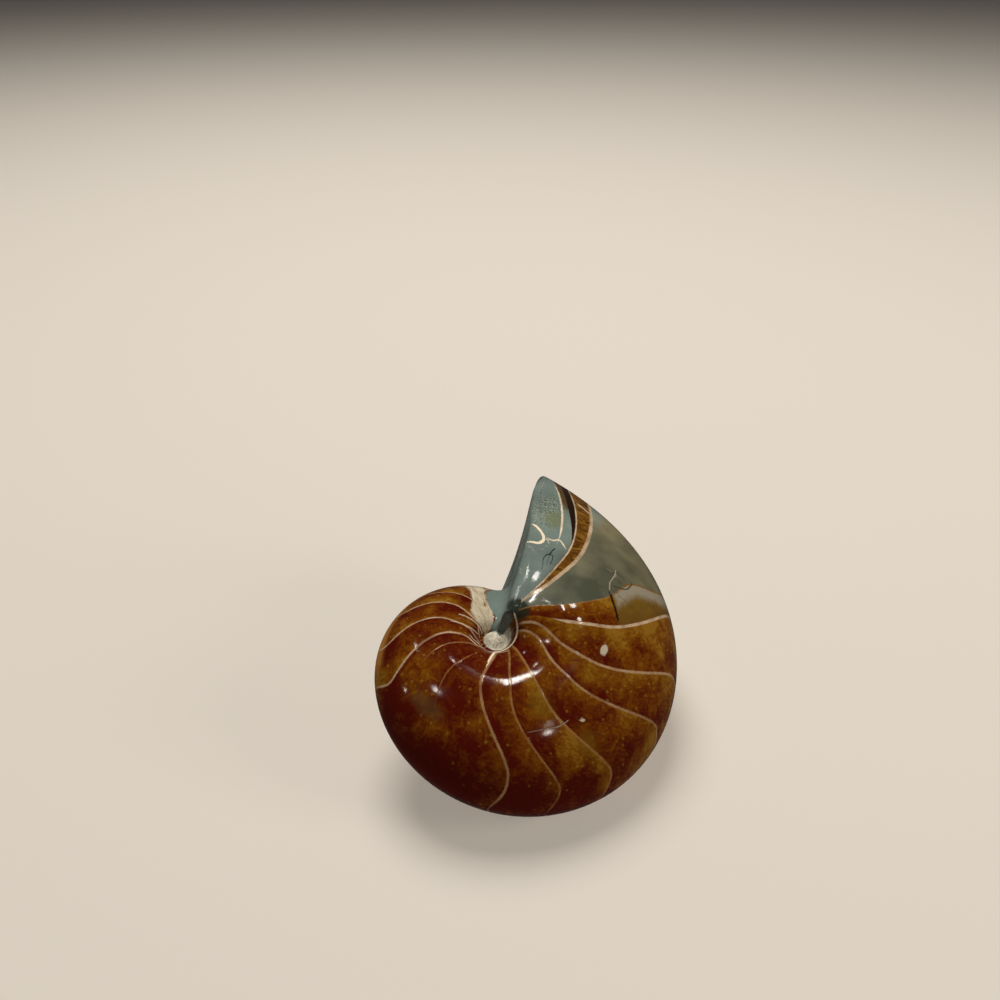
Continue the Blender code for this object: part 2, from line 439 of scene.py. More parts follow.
@dataclass
class Net:
    """Rows and columns laid over the skin, with the fields that the finishes follow.

    Row 0 and the last row are the middles of the two navels. Column 0 is where the mouth's
    fillet ends on the turn before, and the columns run from there round the coil to the lip,
    over its rounded edge, back across the mouth and down the fillet.
    """

    coil: Coil
    seams: tuple[Seam, ...] = SEAMS
    veins: tuple[Vein, ...] = VEINS
    spots: tuple[Spot, ...] = SPOTS
    swells: tuple[Swell, ...] = SWELLS
    skin_columns: int = 328
    edge_columns: int = 6
    face_columns: int = 12
    fillet_columns: int = 8
    plug_rows: int = 12
    half_rows: int = 108
    edge_radius: float = 2.0
    navel_rounding: float = 2.5
    fillet_reach: float = 5.0
    fillet_turn: float = 17.0
    fillet_spread: float = 14.0
    plug_height: float = 10.0
    plug_drop: float = 1.6
    fields: dict[str, Field] = field(default_factory=dict)

    @property
    def columns(self) -> int:
        """How many columns the net has."""
        return self.skin_columns + self.edge_columns + self.face_columns + self.fillet_columns

    @property
    def rows(self) -> int:
        """How many steps there are from one navel's middle to the other's."""
        return 2 * (self.plug_rows + self.half_rows)

    def fillet_start(self, reach: Field) -> Field:
        """How far round the turn before the fillet reaches, in degrees."""
        return self.fillet_turn + self.fillet_spread * np.clip((0.9 - reach) / 0.5, 0, 1)

    def lay(self) -> Field:
        """Work out every point of the net, and the fields.

        Returns:
            Points by row and column, in the coil's own frame.
        """
        shown = self._half(Flank.SHOWN)
        under = self._half(Flank.UNDER)
        fields = {
            name: np.concatenate([shown[name], under[name][::-1][1:]], axis=0) for name in shown
        }
        points = fields.pop("points")
        self._raise_swells(points)
        fields["pitch"] = self._pitch(points, fields["chamber"])
        self.fields = fields
        self._mark_mud(points)
        self._mark_veins(points)
        self._mark_spots(points)
        self._mark_tints()
        return points

    def _raise_swells(self, points: Field) -> None:
        """Raise the skin a little where the grinding left it proud.

        Args:
            points: the net's points, which are moved.
        """
        for swell in self.swells:
            away = np.linalg.norm(points - self._on_skin(swell.reach, swell.azimuth), axis=-1)
            points[..., 2] += swell.height * np.exp(-((away / swell.radius) ** 2))

    def _half(self, flank: Flank) -> dict[str, Field]:
        """Lay one flank, from the navel's middle to the keel.

        Args:
            flank: which side of the coil.

        Returns:
            Its points, and the fields that need no others.
        """
        side = float(flank.value)
        reach = np.linspace(0, 1, self.half_rows + 1)[:, None]
        lip = self.coil.lip_azimuth(reach, np.full_like(reach, side))
        tip = self.coil.skin(reach, side, lip)
        corner = self.coil.skin(reach, side, lip - FULL_TURN)
        gap = np.linalg.norm(tip - corner, axis=-1)
        rounding = self.edge_radius * (1 - 0.75 * ease((reach - 0.7) / 0.3))
        rounding += self.navel_rounding * ease((0.5 - reach) / 0.35)
        edge = np.minimum(rounding, gap * 0.3)
        lip_radius = self.coil.lip_radius
        radius = self.coil.half_section(reach, self.coil.half_width, self.coil.navel_rim / lip_radius)[0]
        first = lip - FULL_TURN + self.fillet_start(reach)
        last = lip - np.degrees(edge / (lip_radius * radius + 1))
        # Even steps along the spiral, whose size grows in proportion to its length.
        grown = np.linspace(0, 1, self.skin_columns)[None, :]
        sizes = self.coil.size(first) + (self.coil.size(last) - self.coil.size(first)) * grown
        azimuth = FULL_TURN * np.log(sizes / lip_radius) / math.log(self.coil.growth_per_turn)
        skin = self.coil.skin(np.broadcast_to(reach, azimuth.shape), side, azimuth)
        mouth = self._mouth(skin, tip[:, 0], corner[:, 0], gap[:, 0], edge[:, 0])
        points = np.concatenate([skin, mouth], axis=1)
        # Over the mouth the azimuth runs back to where the skin began.
        share = np.linspace(0, 1, mouth.shape[1] + 2)[None, 1:-1]
        azimuths = np.concatenate([azimuth, last + (first - last) * share], axis=1)
        chamber, width, pale = self._seam_fields(reach, azimuths)
        width[:, self.skin_columns :] = NO_LINE
        in_mouth = np.zeros_like(azimuths)
        in_mouth[:, self.skin_columns :] = 1
        fields = {
            "points": points,
            "reach": np.broadcast_to(reach, azimuths.shape),
            "azimuth": azimuths,
            "chamber": chamber,
            "line_width": width,
            "paleness": pale,
            "mouth": in_mouth,
            "flank": np.full_like(azimuths, side),
        }
        return self._with_plug(fields, side)

    def _mouth(self, skin: Field, tip: Field, corner: Field, gap: Field, edge: Field) -> Field:
        """Close the turn over its mouth: the rounded lip, the face and the fillet.

        Args:
            skin: the half's points over the outside of the turn.
            tip: the lip before it is rounded, row by row.
            corner: where the face would meet the turn before.
            gap: how far apart those two are.
            edge: how far the lip's rounding reaches.

        Returns:
            The half's points over the mouth.
        """
        into = (corner - tip) / gap[:, None]
        turned = tip + into * edge[:, None]
        foot = corner - into * np.minimum(self.fillet_reach, gap * 0.45)[:, None]
        start, end = skin[:, -1], skin[:, 0]
        columns = []
        for step in np.linspace(0, 1, self.edge_columns + 1)[1:]:
            columns.append((1 - step) ** 2 * start + 2 * step * (1 - step) * tip + step**2 * turned)
        for step in np.linspace(0, 1, self.face_columns + 1)[1:]:
            columns.append(turned + (foot - turned) * step)
        for step in np.linspace(0, 1, self.fillet_columns + 2)[1:-1]:
            columns.append((1 - step) ** 2 * foot + 2 * step * (1 - step) * corner + step**2 * end)
        return np.stack(columns, axis=1)

    def _with_plug(self, fields: dict[str, Field], side: float) -> dict[str, Field]:
        """Add the rows that close the navel: a low dome inside the navel's rim.

        Args:
            fields: a half's points and fields.
            side: 1 on the shown flank, -1 on the other.

        Returns:
            The same with the dome's rows before them, and the field of the plug.
        """
        rim = fields["points"][0]
        centre = self.coil.navel_shift * np.array(self.coil.navel_centre())
        domed = []
        steps = np.linspace(1, 0, self.plug_rows + 1)[:-1]
        for step in steps:
            away = centre + (rim[:, :2] - centre) * (1 - step)
            height = side * (self.plug_height - self.plug_drop * (1 - step) ** 2)
            blend = ease(np.array(step / 0.4))
            domed.append(np.column_stack([away, rim[:, 2] * (1 - blend) + height * blend]))
        done = {}
        for name, values in fields.items():
            if name == "points":
                extra = np.stack(domed)
            else:
                extra = np.repeat(values[:1], len(steps), axis=0)
            done[name] = np.concatenate([extra, values], axis=0)
        inside = np.repeat(steps[:, None], rim.shape[0], axis=1)
        done["plug"] = np.concatenate([inside, np.zeros_like(fields["reach"])], axis=0)
        return done

    def _seam_fields(self, reach: Field, azimuth: Field) -> tuple[Field, Field, Field]:
        """Find the chamber that each place lies in, and the seam nearest to it.

        Args:
            reach: the place from navel to keel.
            azimuth: degrees, 0 at the tip of the lip.

        Returns:
            How many chambers back, and that seam's half width and paleness.
        """
        places = [seam.azimuth(reach) for seam in self.seams]
        first = self.seams[0].number
        ahead = places[0] + 14
        chamber = np.full_like(azimuth, first - 1.0)
        previous = ahead
        for seam, place in zip(self.seams, places):
            share = np.clip((previous - azimuth) / (previous - place), 0, 1)
            chamber = np.where(azimuth < previous, seam.number - 1 + share, chamber)
            previous = place
        last = np.clip((previous - azimuth) / 20, 0, None)
        chamber = np.where(azimuth < previous, self.seams[-1].number + last, chamber)
        nearest = np.round(chamber)
        width = np.full_like(azimuth, NO_LINE)
        pale = np.full_like(azimuth, 0.5)
        for seam in self.seams:
            here = nearest == seam.number
            width = np.where(here, seam.half_width(reach), width)
            pale = np.where(here, seam.pale, pale)
        return chamber, width, pale

    def _pitch(self, points: Field, chamber: Field) -> Field:
        """Measure the chambers square to their seams.

        Args:
            points: the net's points.
            chamber: how many chambers back each lies.

        Returns:
            How many millimetres one chamber takes.
        """
        along = (np.roll(points, -1, axis=1) - np.roll(points, 1, axis=1)) / 2
        across = np.gradient(points, axis=0)
        chamber_along = (np.roll(chamber, -1, axis=1) - np.roll(chamber, 1, axis=1)) / 2
        chamber_across = np.gradient(chamber, axis=0)
        aa = (along * along).sum(-1)
        bb = (across * across).sum(-1)
        ab = (along * across).sum(-1)
        area = np.maximum(aa * bb - ab * ab, 1e-9)
        squared = (
            chamber_along**2 * bb - 2 * chamber_along * chamber_across * ab + chamber_across**2 * aa
        ) / area
        return np.clip(1 / np.sqrt(np.maximum(squared, 1e-6)), 0, 30)

    def _mark_mud(self, points: Field) -> None:
        """Mark how far inside the hardened mud a place lies, in millimetres, or below 0 outside it.

        Args:
            points: the net's points.
        """
        chamber = self.fields["chamber"]
        ahead = np.clip(-chamber * self.fields["pitch"], -FAR, FAR)
        steps = np.linalg.norm(np.diff(points[:, : self.skin_columns], axis=1), axis=-1)
        run = np.concatenate([np.zeros((points.shape[0], 1)), np.cumsum(steps, axis=1)], axis=1)
        reach = self.fields["reach"]
        held_back = 0.8 + 1.6 * hump(reach, 0.85, 0.12) + 1.2 * hump(reach, 0.38, 0.1)
        mud = np.full_like(chamber, FAR)
        mud[:, : self.skin_columns] = np.maximum(
            ahead[:, : self.skin_columns], np.clip(-run - held_back[:, :1], -FAR, FAR)
        )
        back = np.linalg.norm(points[:, self.skin_columns :] - points[:, :1], axis=-1)
        mud[:, self.skin_columns :] = np.clip(back - held_back[:, :1], -FAR, FAR)
        self.fields["mud"] = mud

    def _on_skin(self, reach: float, azimuth: float) -> Field:
        """One point of the shown flank."""
        return self.coil.skin(np.array(float(reach)), 1.0, np.array(float(azimuth)))

    def _mark_veins(self, points: Field) -> None:
        """Mark the signed distance to the nearest vein, with that vein's half width and tone.

        Args:
            points: the net's points.
        """
        shape = points.shape[:2]
        distance = np.full(shape, FAR)
        width = np.full(shape, NO_LINE)
        tone = np.full(shape, 0.5)
        for vein in self.veins:
            path = np.array([self._on_skin(*place) for place in vein.rounded()])
            middle = path.mean(axis=0)
            around = np.linalg.norm(path - middle, axis=1).max() + 4
            near = np.linalg.norm(points - middle, axis=-1) < around
            off, half = self._from_path(points[near], path, vein.width / 2)
            better = half - np.abs(off) > width[near] - np.abs(distance[near])
            for values, fresh in ((distance, off), (width, half), (tone, np.full_like(off, vein.tone))):
                held = values[near]
                held[better] = fresh[better]
                values[near] = held
        self.fields |= {"vein": distance, "vein_width": width, "vein_tone": tone}

    def _from_path(self, points: Field, path: Field, half: float) -> tuple[Field, Field]:
        """Measure how far points lie from a line on the skin.

        Args:
            points: the points, one a row.
            path: the line's own points.
            half: half of its width in the middle of its length.

        Returns:
            The signed distance, and half of the line's width there.
        """
        best = np.full(len(points), 1e9)
        signed = np.zeros(len(points))
        width = np.full(len(points), NO_LINE)
        outward = np.array([0.0, 0.0, 1.0])
        total = len(path) - 1
        for count, (start, end) in enumerate(zip(path, path[1:])):
            run = end - start
            length = max(np.linalg.norm(run), 1e-6)
            run = run / length
            side = np.cross(outward, run)
            side /= np.linalg.norm(side)
            along = (points - start) @ run
            held = np.clip(along, 0, length)
            away = np.linalg.norm(points - start - held[:, None] * run, axis=1)
            closer = away < best
            best = np.where(closer, away, best)
            signed = np.where(closer, np.sign((points - start) @ side) * away, signed)
            share = (count + along / length) / total
            taper = half * (1 - np.clip(np.abs(2 * share - 1), 0, 1) ** 6)
            past = (share < 0) | (share > 1)
            width = np.where(closer, np.where(past, NO_LINE, taper), width)
        return signed, width

    def _mark_spots(self, points: Field) -> None:
        """Mark how strongly each patch shows at a place, from 0 to 1.

        Args:
            points: the net's points.
        """
        for spot in self.spots:
            middle = self._on_skin(spot.reach, spot.azimuth)
            onward = self._on_skin(spot.reach, spot.azimuth + 1) - middle
            outward = self._on_skin(spot.reach + 0.01, spot.azimuth) - middle
            onward /= np.linalg.norm(onward)
            outward -= onward * (outward @ onward)
            outward /= np.linalg.norm(outward)
            turn = math.radians(spot.turn)
            along = (points - middle) @ (onward * math.cos(turn) + outward * math.sin(turn))
            across = (points - middle) @ (outward * math.cos(turn) - onward * math.sin(turn))
            depth = (points - middle) @ np.cross(onward, outward)
            size = max(spot.along, spot.across)
            squared = (along / spot.along) ** 2 + (across / spot.across) ** 2 + (depth / size / 1.5) ** 2
            strength = 1 / (1 + squared**2)
            before = self.fields.get(spot.field, np.zeros(points.shape[:2]))
            self.fields[spot.field] = np.maximum(before, strength)

    def _mark_tints(self) -> None:
        """Broad changes of colour round the coil, and the regions that seams bound."""
        azimuth, reach = self.fields["azimuth"], self.fields["reach"]
        chamber, pitch = self.fields["chamber"], self.fields["pitch"]
        # This field is partly the filling's own colour and partly painted light and shade: the keel's edge
        # at both ends of the turn is made more golden as painted glow of light through the thin edge, a
        # band of painted shade darkens the lower keel from about -118 to -240 degrees, and the colour is
        # darker towards the navel.
        gold = np.interp(azimuth, *zip(*GOLDEN_WITH_PAINTED_LIGHT))
        rim = ease((reach - 0.8) / 0.12)
        gold += 0.75 * rim * ease((-azimuth - 225) / 25)
        gold -= 0.55 * ease((reach - 0.7) / 0.15) * ease((-azimuth - 118) / 18) * ease((azimuth + 240) / 20)
        gold -= 0.35 * ease((0.42 - reach) / 0.2)
        gold += 0.5 * rim * ease((azimuth + 130) / 30)
        self.fields["gold"] = gold
        # The two faint seams on the left bound nothing that shows: the filling runs on across them.
        self.fields["banding"] = ease((np.abs(chamber - 7.5) - 0.6) / 0.9)
        # The cream streak runs from the navel, just ahead of where the mouth meets the turn before.
        middle = -318 - 13 * ease((reach - 0.42) / 0.28) - 4 * ease((0.2 - reach) / 0.2)
        spread = 7.0 + 10 * ease((0.58 - reach) / 0.2)
        self.fields["streak"] = 1 - np.abs(azimuth - middle) / spread
        in_mouth = self.fields.pop("mouth") > 0
        off_mouth = np.where(in_mouth, -FAR, FAR)
        self.fields["mud_warmth"] = np.where(in_mouth, 0, ease((-azimuth - 15) / 10) * (0.5 + 0.5 * reach))
        self.fields["strip"] = np.minimum((0.5 - np.abs(chamber + 1.5)) * pitch, off_mouth)
        ahead = (-2 - chamber) * pitch
        lens = 0.3 + 1.9 * ease((reach - 0.5) / 0.2) * ease((0.92 - reach) / 0.12)
        self.fields["lens"] = np.minimum(np.minimum(ahead, lens - ahead), off_mouth)
        wedge = np.minimum((chamber + 3) * pitch, ahead)
        wedge = np.minimum(np.minimum(wedge, (reach - 0.63) * 10), (0.9 - reach) * 20)
        self.fields["wedge"] = np.where(self.fields.pop("flank") > 0, wedge, -FAR)
        patch = np.minimum(np.minimum(chamber, 1 - chamber) * pitch, (reach - 0.525) * 40)
        self.fields["patch"] = np.minimum(patch, (0.86 - reach) * 40)
        self.fields["patch_pale"] = np.minimum(4 * self.fields["patch"], 4.4 - chamber * pitch)
        # Partly the calcite's own golden brown and partly painted glow of light through the thin keel edge,
        # over the far end of the turn.
        self.fields["rim"] = ease((reach - 0.8) / 0.14) * ease((-azimuth - 232) / 20)
        upper = 0.55 * ease((reach - 0.5) / 0.3) - 0.7 * ease((-azimuth - 26) / 22)
        self.fields["mud_light"] = np.where(in_mouth, 0, upper * ease((-azimuth - 12) / 8))


@dataclass(frozen=True)
class Resting:
    """How the stone lies: its coil axis leans over, and the lip points away to one side."""

    axis_lean: float = 25.0
    lean_heading: float = 36.5
    lip_turn: float = 43.4
    flat_depth: float = 2.8

    def turned(self) -> Matrix:
        """How the coil is turned to lie at rest.

        Returns:
            The rotation from the coil's own frame.
        """
        return (
            Matrix.Rotation(math.radians(self.lean_heading), 4, "Z")
            @ Matrix.Rotation(math.radians(self.axis_lean), 4, "X")
            @ Matrix.Rotation(math.radians(self.lip_turn), 4, "Z")
        )


@dataclass(frozen=True)
class Layer:
    """One colour laid over those below it, where a field of the net is high enough.

    Attributes:
        field: the field's name.
        colour: sRGB hex, or an output.
        low: the value where the colour begins to show.
        high: the value where it shows fully.
        strength: how fully it covers what is below it, up to 1.
        ragged: how far fine noise moves its edge, in the field's own unit.
    """

    field: str
    colour: str | Socket
    low: float
    high: float
    strength: float = 1.0
    ragged: float = 0.0


@dataclass(frozen=True)
class FossilStone:
    """Sea mud and shell turned to stone, cut back and polished until the chambers show.

    Calcite fills the chambers: amber to deep red, a little clear, with paler growth where each
    filling began. The chamber walls' edges are thin pale lines. The last chamber is filled with
    grey-green mudstone, and the navel with fibrous white calcite. It is ground, sanded and
    buffed wet to a mirror polish, which gives the eye sharp small highlights over deep colour.
    """

    fillings: Stops = (
        (0.06, "#865e1a"),
        (0.22, "#764a0a"),
        (0.42, "#6a3805"),
        (0.62, "#5a2604"),
        (0.86, "#4a0d03"),
    )
    fleck: str = "#8a6a22"
    strip: Stops = ((0.35, "#38200a"), (0.52, "#664210"), (0.68, "#8e6a2a"))
    wall_dull: str = "#8a6030"
    wall_pale: str = "#f4e4c6"
    crack: str = "#17130c"
    mud_cool: str = "#7b8a84"
    mud_cool_deep: str = "#5a6864"
    mud_warm: str = "#7e7352"
    mud_warm_deep: str = "#403b24"
    speck: str = "#a9aa8c"
    plug_pale: str = "#e3dfce"
    plug_dull: str = "#9b9682"
    streak_pale: str = "#dacfb6"
    streak_dull: str = "#8c7a58"
    roughness: float = 0.09
    navel_roughness: float = 0.35
    index: float = 1.5
    gloss: float = 0.24
    under_walls: tuple[Layer, ...] = (
        Layer("olive", "#6e5414", 0.1, 0.9, 0.4, 1.6),
        Layer("cloudy", "#54462a", 0.2, 1.0, 0.4, 1.8),
        # Partly the calcite's own colour and partly painted glow: golden brown along the keel's thin edge.
        Layer("rim", "#b07a34", 0.2, 1.1, 0.8, 0.6),
        Layer("patch", "#64501e", -0.2, 0.8, 0.7, 1.2),
        Layer("patch_pale", "#8e8878", 0.0, 2.6, 0.85, 3.6),
        Layer("white_spot", "#c6bba2", 0.3, 0.7, 0.85, 1.1),
    )
    over_mud: tuple[Layer, ...] = (
        Layer("green", "#6c7030", 0.2, 1.0, 0.45, 1.6),
        Layer("wedge", "#4e3818", 0.0, 0.5, 0.95, 0.5),
        Layer("lens", "#22150a", -0.05, 0.12, 1.0, 0.2),
        # Painted shade: dark green-black laid over the hollow beside the navel, where shade falls in the
        # recess.
        Layer("hollow", "#20271c", 0.3, 0.75, 0.9, 0.1),
    )

    def material(self) -> bpy.types.Material:
        """Make the stone's material.

        Returns:
            The material, named for what it is.
        """
        made = bpy.data.materials.new("polished_fossil_calcite")
        made.use_nodes = True
        StoneNodes(made.node_tree, self).dress()
        return made


class StoneNodes:
    """The nodes that give the stone its look.

    A Math node multiplies its first input by its second and adds its third, unless it is told
    otherwise, and a Mix node mixes colours.
    """

    USUAL = {"Math": {"operation": "MULTIPLY_ADD"}, "Mix": {"data_type": "RGBA"}}

    def __init__(self, tree: bpy.types.NodeTree, look: FossilStone) -> None:
        """Start with the place on the stone, and the two noises that every part shares.

        Args:
            tree: the material's node tree.
            look: the stone's colours and gloss.
        """
        self.tree = tree
        self.look = look
        self.place = self.add("TexCoord", output="Object")
        # Grit and tiny crystals, about 0.6 mm across.
        self.fine = self.add(
            "TexNoise", {"Vector": self.place, "Scale": 1600.0, "Detail": 3.0, "Roughness": 0.6}
        )
        # Clouds in the calcite, about 2.5 mm across.
        cloudy = {"Scale": 400.0, "Detail": 6.0, "Roughness": 0.65, "Distortion": 1.0}
        self.clouds = self.add("TexNoise", {"Vector": self.place} | cloudy)

    def add(
        self,
        kind: str,
        inputs: dict | tuple = (),
        output: int | str = 0,
        stops: Stops = (),
        **settings: object,
    ) -> Socket:
        """Add a node with its settings, its values and its links.

        Args:
            kind: the node's type name, after "ShaderNode".
            inputs: what to wire to its inputs, by name or number, or in order.
            output: the name or number of the output to hand back.
            stops: a colour ramp's values in order, each with its colour.
            settings: the node's own properties, where they aren't the usual ones.

        Returns:
            One of the new node's outputs.
        """
        node = self.tree.nodes.new("ShaderNode" + kind)
        for name, value in (self.USUAL.get(kind, {}) | settings).items():
            setattr(node, name, value)
        elements = node.color_ramp.elements if stops else ()
        while len(elements) < len(stops):
            elements.new(0.5)
        for element, (position, shade) in zip(elements, stops):
            element.position = position
            element.color = linear(shade)
        self.wire(node, inputs)
        return node.outputs[output]

    def wire(self, node: bpy.types.Node, inputs: dict | tuple) -> None:
        """Give a node its inputs.

        Args:
            node: the node.
            inputs: for each, a number, an output, a "#" colour or the name of a net's field.
        """
        named = inputs if isinstance(inputs, dict) else dict(enumerate(inputs))
        for name, value in named.items():
            if isinstance(value, str) and value[0] == "#":
                value = linear(value)
            elif isinstance(value, str):
                value = self.add("Attribute", output="Fac", attribute_name=value)
            if isinstance(value, Socket):
                self.tree.links.new(value, node.inputs[name])
            else:
                node.inputs[name].default_value = value

    def dress(self) -> None:
        """Lay every part of the stone over the one below it, and wire the shader."""
        filled = self._laid(self._filling(), self.look.under_walls, self.clouds)
        filled, in_navel = self._navel(filled)
        mud = Layer("mud", self._mudstone(), 0.0, 0.12, 1.0, 0.35)
        strip = Layer("strip", self._strip(), -0.05, 0.1, 1.0, 0.15)
        stone = self._laid(filled, (mud, strip, *self.look.over_mud), self.fine)
        stone, wall = self._walls(stone)
        stone, crack = self._veins(stone)
        polish = {"Value": in_navel, "To Min": self.look.roughness, "To Max": self.look.navel_roughness}
        surface = {
            "Base Color": stone,
            "Roughness": self.add("MapRange", polish),
            "IOR": self.look.index,
            "Specular IOR Level": self.look.gloss,
            "Normal": self._relief(wall, crack, in_navel),
        }
        self.wire(self.tree.nodes["Principled BSDF"], surface)

    def _mask(self, layer: Layer, noise: Socket) -> Socket:
        """Where a layer shows, with a ragged edge.

        Args:
            layer: the layer.
            noise: what moves its edge.

        Returns:
            A value from 0 to the layer's strength.
        """
        value = self.add("Math", (noise, layer.ragged, layer.field))
        low, high = layer.low + layer.ragged / 2, layer.high + layer.ragged / 2
        span = {"Value": value, "From Min": low, "From Max": high, "To Max": layer.strength}
        return self.add("MapRange", span, interpolation_type="SMOOTHSTEP")

    def _line(self, away: str | Socket, width: str, ragged: float, edge: tuple[float, float]) -> Socket:
        """Where a thin line shows.

        Args:
            away: how far off its middle a place is, in millimetres.
            width: the field that holds half of its width.
            ragged: how far fine noise moves it.
            edge: how far inside the line it begins to show, and where it shows fully.

        Returns:
            A value from 0 to 1.
        """
        away = self.add("Math", (self.fine, ragged, away))
        away = self.add("Math", (away, ragged / 2), operation="SUBTRACT")
        away = self.add("Math", (away,), operation="ABSOLUTE")
        inside = self.add("Math", (width, away), operation="SUBTRACT")
        span = {"Value": inside, "From Min": edge[0], "From Max": edge[1]}
        return self.add("MapRange", span, interpolation_type="SMOOTHSTEP")

    def _laid(self, below: Socket, layers: tuple[Layer, ...], noise: Socket) -> Socket:
        """Lay layers over a colour, one after another.

        Args:
            below: the colour below them.
            layers: the layers, from the lowest.
            noise: what moves their edges.

        Returns:
            The colour with the layers over it.
        """
        for layer in layers:
            mask = self._mask(layer, noise)
            below = self.add("Mix", {0: mask, 6: below, 7: layer.colour}, 2)
        return below

    def _filling(self) -> Socket:
        """The colour of the chambers' fillings: golden where each began, and deeper onwards.

        Returns:
            The colour.
        """
        phase = self.add("Math", ("chamber",), operation="FRACT")
        cell = self.add("Math", ("chamber",), operation="FLOOR")
        chance = self.add("TexWhiteNoise", {"W": cell}, "Value", noise_dimensions="1D")
        # Fibres grow from wall to wall, about 0.6 mm across and many times as long.
        grown = self.add("CombineXYZ", ("reach", "chamber"))
        grown = self.add("Mapping", {"Vector": grown, "Scale": (18.0, 3.0, 1.0)})
        fibrous = {"Vector": grown, "Detail": 4.0, "Roughness": 0.6, "Distortion": 0.6}
        fibres = self.add("TexNoise", fibrous)
        # Whole areas that are more golden or redder, about 7 mm across.
        broad = self.add("TexNoise", {"Vector": self.place, "Scale": 150.0, "Detail": 3.0})
        step = self.add("Math", (chance, 0.3, phase))
        step = self.add("Math", (step, 0.65), operation="SUBTRACT")
        step = self.add("Math", (step, "banding", 0.0))
        depth = self.add("Math", (step, 0.5, -1.07))
        for noise, share in ((broad, 1.5), (self.clouds, 1.3), (fibres, 0.8)):
            depth = self.add("Math", (noise, share, depth))
        # Painted light and shade come in here with the gold field: more golden where painted glow shows
        # through the keel, and deeper red where painted shade falls low on the stone.
        depth = self.add("Math", ("gold", -0.5, depth))
        filling = self.add("ValToRGB", {"Fac": depth}, stops=self.look.fillings)
        # Golden flecks under 1 mm, thickest where the filling is golden.
        away = self.add("TexVoronoi", {"Vector": self.place, "Scale": 900.0, "Randomness": 1.0})
        small = self.add("MapRange", {"Value": away, "From Min": 0.4, "From Max": 0.15})
        share = self.add("SeparateColor", {"Color": away.node.outputs["Color"]})
        share = self.add("Math", (depth, -0.45, share))
        few = self.add("MapRange", {"Value": share, "From Min": 0.52, "From Max": 0.62, "To Max": 0.55})
        flecks = self.add("Math", (small, few, 0.0))
        return self.add("Mix", {0: flecks, 6: filling, 7: self.look.fleck}, 2)

    def _mudstone(self) -> Socket:
        """Grey-green mudstone, cooler by the lip, with tiny pale grains where it is gritty.

        Returns:
            The colour.
        """
        look = self.look
        # Paler and darker mud, about 9 mm across.
        muddy = {"Scale": 110.0, "Detail": 4.0, "Roughness": 0.5}
        tone = self.add("TexNoise", {"Vector": self.place} | muddy)
        tone = self.add("Math", ("mud_light", 0.3, tone))
        tone = self.add("MapRange", {"Value": tone, "From Min": 0.25, "From Max": 0.75})
        cool = self.add("Mix", {0: tone, 6: look.mud_cool_deep, 7: look.mud_cool}, 2)
        warm = self.add("Mix", {0: tone, 6: look.mud_warm_deep, 7: look.mud_warm}, 2)
        mud = self.add("Mix", {0: "mud_warmth", 6: cool, 7: warm}, 2)
        # Grains of about 0.4 mm, paler and darker than the mud.
        gritty = {"Scale": 2600.0, "Detail": 2.0, "Roughness": 0.6, "Distortion": 0.4}
        grains = self.add("TexNoise", {"Vector": self.place} | gritty)
        for low, high, colour in ((0.56, 0.62, look.speck), (0.42, 0.36, look.mud_warm_deep)):
            span = {"Value": grains, "From Min": low, "From Max": high, "To Max": 0.9}
            shown = self.add("Math", (self.add("MapRange", span), "gritty", 0.0))
            mud = self.add("Mix", {0: shown, 6: mud, 7: colour}, 2)
        return mud

    def _strip(self) -> Socket:
        """The amber strip across the mudstone, with slanting golden and dark bands.

        Returns:
            The colour.
        """
        slant = {"Vector": self.place, "Rotation": (0.0, 0.6, 0.7), "Scale": (1.0, 2.0, 1.0)}
        # Bands about 3 mm long and half as wide.
        banded = {"Scale": 300.0, "Detail": 6.0, "Roughness": 0.7, "Distortion": 1.0}
        bands = self.add("TexNoise", {"Vector": self.add("Mapping", slant)} | banded)
        return self.add("ValToRGB", {"Fac": bands}, stops=self.look.strip)

    def _walls(self, below: Socket) -> tuple[Socket, Socket]:
        """Lay the seams over the stone as thin pale lines.

        Args:
            below: the colour below them.

        Returns:
            The colour with the seams over it, and where they show.
        """
        nearest = self.add("Math", ("chamber",), operation="ROUND")
        off = self.add("Math", ("chamber", nearest), operation="SUBTRACT")
        away = self.add("Math", (off, "pitch", 0.0))
        mask = self._line(away, "line_width", 0.3, (-0.16, 0.1))
        # Each line comes and goes along its length, over about 4 mm.
        patchy = {"Vector": self.place, "Scale": 260.0, "Detail": 4.0, "Roughness": 0.7}
        worn = {"Value": self.add("TexNoise", patchy), "From Min": 0.36, "From Max": 0.58}
        worn |= {"To Min": 0.4, "To Max": 0.95}
        mask = self.add("Math", (mask, self.add("MapRange", worn), 0.0))
        shades = {0: "paleness", 6: self.look.wall_dull, 7: self.look.wall_pale}
        colour = self.add("Mix", shades, 2)
        return self.add("Mix", {0: mask, 6: below, 7: colour}, 2), mask

    def _veins(self, below: Socket) -> tuple[Socket, Socket]:
        """Lay the veins over the stone.

        Args:
            below: the colour below them.

        Returns:
            The colour with the veins over it, and where the open cracks are.
        """
        mask = self._line("vein", "vein_width", 0.4, (-0.08, 0.08))
        mask = self.add("Math", (mask, 0.95, 0.0))
        shades = {0: "vein_tone", 6: self.look.crack, 7: self.look.wall_pale}
        colour = self.add("Mix", shades, 2)
        laid = self.add("Mix", {0: mask, 6: below, 7: colour}, 2)
        dark = self.add("Math", (1.0, "vein_tone"), operation="SUBTRACT")
        return laid, self.add("Math", (mask, dark, 0.0))

